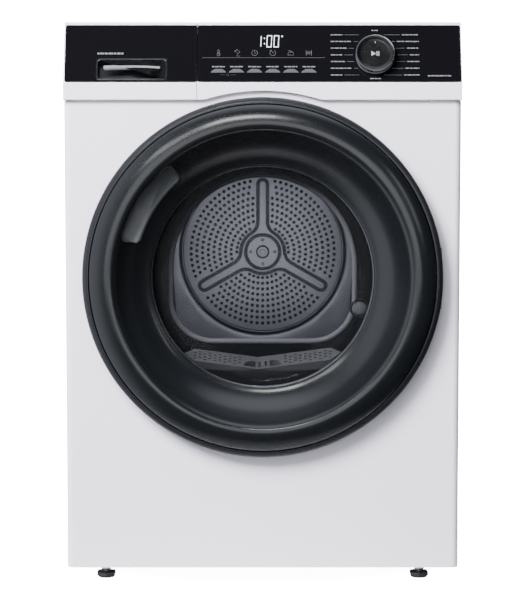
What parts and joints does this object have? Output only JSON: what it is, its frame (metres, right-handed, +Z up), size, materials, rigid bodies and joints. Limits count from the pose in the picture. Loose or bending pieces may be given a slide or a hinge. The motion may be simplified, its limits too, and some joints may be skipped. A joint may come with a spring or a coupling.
{
  "type": "clothes dryer",
  "caption": "Free-standing 60 cm front-loading heat-pump clothes dryer: white cabinet, black leaning control glass, round glossy black porthole door, steel drum, tank drawer and levelling feet.",
  "frame": {"origin": "on the floor under the middle of the machine's box, bottom of the feet", "axes": "+Z up, the door faces -Y, +X to the viewer's right in front of it"},
  "size_m": [0.595, 0.607, 0.845],
  "materials": {
    "white_paint": "satin white enamel, cool tint",
    "white_plastic": "white plastic matched to the enamel",
    "black_glass": "black panel behind a clear gloss layer",
    "gloss_black": "piano black",
    "satin_black": "satin black plastic",
    "bright_ring": "bright satin chrome",
    "smoked_glass": "smoked clear glass",
    "dark_plastic": "dark grey plastic, fine grain",
    "grey_plastic": "grey plastic",
    "light_plastic": "light grey plastic",
    "drum_steel": "stainless steel, lightly brushed",
    "machined_steel": "machined steel",
    "zinc_sheet": "galvanised sheet",
    "rubber": "black rubber",
    "felt": "grey wool felt",
    "fins": "thin aluminium fins",
    "lamp": "frosted clear lens"
  },
  "bodies": {
    "root": {"front_panel": "white_paint", "left_side_panel": "white_paint", "right_side_panel": "white_paint", "top_panel": "white_plastic", "fascia": "white_plastic", "control_glass": "black_glass", "control_board": "dark_plastic", "rear_panel": "zinc_sheet", "rear_cover": "zinc_sheet", "power_inlet": "dark_plastic", "latch_housing": "grey_plastic", "hinge_bracket": "zinc_sheet", "hinge_pin": "machined_steel", "front_bulkhead": "satin_black", "drum_lamp": "lamp", "front_felt_seal": "felt", "rear_bearing": "zinc_sheet", "left_roller_axle": "machined_steel", "right_roller_axle": "machined_steel", "motor": "zinc_sheet", "drive_belt": "rubber", "blower_housing": "dark_plastic", "evaporator": "fins", "condenser": "fins", "compressor": "dark_plastic", "cooling_fan_frame": "dark_plastic", "base_tray": "grey_plastic"},
    "door": {"door_ring": "gloss_black", "door_band": "satin_black", "door_frame": "dark_plastic", "door_handle_pocket": "satin_black", "door_glass": "smoked_glass", "door_seal": "rubber", "door_hook": "zinc_sheet", "hinge_leaf": "zinc_sheet"},
    "tank_drawer": {"tank_front": "white_plastic", "tank_glass": "black_glass", "tank_grip": "satin_black", "condensate_tank": "light_plastic"},
    "knob": {"program_knob": "satin_black", "knob_ring": "bright_ring"},
    "lint_filter": {"lint_filter_frame": "light_plastic", "lint_filter_sieve": "fins"},
    "drum": {"drum_shell": "drum_steel", "drum_back_wall": "drum_steel", "lifter_a": "dark_plastic", "lifter_b": "dark_plastic", "lifter_c": "dark_plastic", "drum_shaft": "machined_steel"},
    "left_roller": {"left_roller": "rubber"},
    "right_roller": {"right_roller": "rubber"},
    "rotor": {"motor_pulley": "machined_steel", "blower_wheel": "dark_plastic"},
    "idler_arm": {"idler_arm": "zinc_sheet"},
    "idler_wheel": {"idler_wheel": "dark_plastic"},
    "cooling_fan": {"cooling_fan": "satin_black"},
    "front_left_foot": {"front_left_foot": "satin_black"},
    "front_right_foot": {"front_right_foot": "satin_black"},
    "rear_left_foot": {"rear_left_foot": "satin_black"},
    "rear_right_foot": {"rear_right_foot": "satin_black"}
  },
  "joints": [
    {"name": "door_hinge", "type": "hinge", "parent": "root", "child": "door", "pos_m": [0.262, -0.28, 0.4625], "axis": [0, 0, 1], "range_deg": [0, 160]},
    {"name": "tank_slide", "type": "slide", "parent": "root", "child": "tank_drawer", "axis": [0, -1, 0], "range_m": [0, 0.35]},
    {"name": "knob_turn", "type": "hinge", "parent": "root", "child": "knob", "pos_m": [0.1677, -0.25551, 0.79343], "axis": [0, -0.9397, 0.342], "continuous": true},
    {"name": "filter_lift", "type": "slide", "parent": "root", "child": "lint_filter", "axis": [0, 0, 1], "range_m": [0, 0.12]},
    {"name": "drum_spin", "type": "hinge", "parent": "root", "child": "drum", "pos_m": [0, 0, 0.472], "axis": [0, 1, 0], "continuous": true},
    {"name": "left_roller_spin", "type": "hinge", "parent": "root", "child": "left_roller", "pos_m": [-0.1572, 0, 0.19972], "axis": [0, 1, 0], "continuous": true},
    {"name": "right_roller_spin", "type": "hinge", "parent": "root", "child": "right_roller", "pos_m": [0.1572, 0, 0.19972], "axis": [0, 1, 0], "continuous": true},
    {"name": "rotor_spin", "type": "hinge", "parent": "root", "child": "rotor", "pos_m": [0.06, 0, 0.112], "axis": [0, 1, 0], "continuous": true},
    {"name": "idler_swing", "type": "hinge", "parent": "root", "child": "idler_arm", "pos_m": [-0.0293, -0.046, 0.17], "axis": [0, -1, 0], "range_deg": [0, 12], "stiffness_Nm_per_rad": 3, "springref_deg": -34.38},
    {"name": "idler_spin", "type": "hinge", "parent": "idler_arm", "child": "idler_wheel", "pos_m": [0.0129, -0.06, 0.1434], "axis": [0, 1, 0], "continuous": true},
    {"name": "cooling_fan_spin", "type": "hinge", "parent": "root", "child": "cooling_fan", "pos_m": [0.271, 0.02, 0.11], "axis": [1, 0, 0], "continuous": true},
    {"name": "front_left_screw", "type": "slide", "parent": "root", "child": "front_left_foot", "axis": [0, 0, -1], "range_m": [0, 0.012]},
    {"name": "front_right_screw", "type": "slide", "parent": "root", "child": "front_right_foot", "axis": [0, 0, -1], "range_m": [0, 0.012]},
    {"name": "rear_left_screw", "type": "slide", "parent": "root", "child": "rear_left_foot", "axis": [0, 0, -1], "range_m": [0, 0.012]},
    {"name": "rear_right_screw", "type": "slide", "parent": "root", "child": "rear_right_foot", "axis": [0, 0, -1], "range_m": [0, 0.012]}
  ],
  "couplings": [
    {"joint": "left_roller_spin", "follows": "drum_spin", "ratio": -9.4667},
    {"joint": "right_roller_spin", "follows": "drum_spin", "ratio": -9.4667},
    {"joint": "rotor_spin", "follows": "drum_spin", "ratio": 19.113},
    {"joint": "idler_spin", "follows": "drum_spin", "ratio": 17.919}
  ]
}
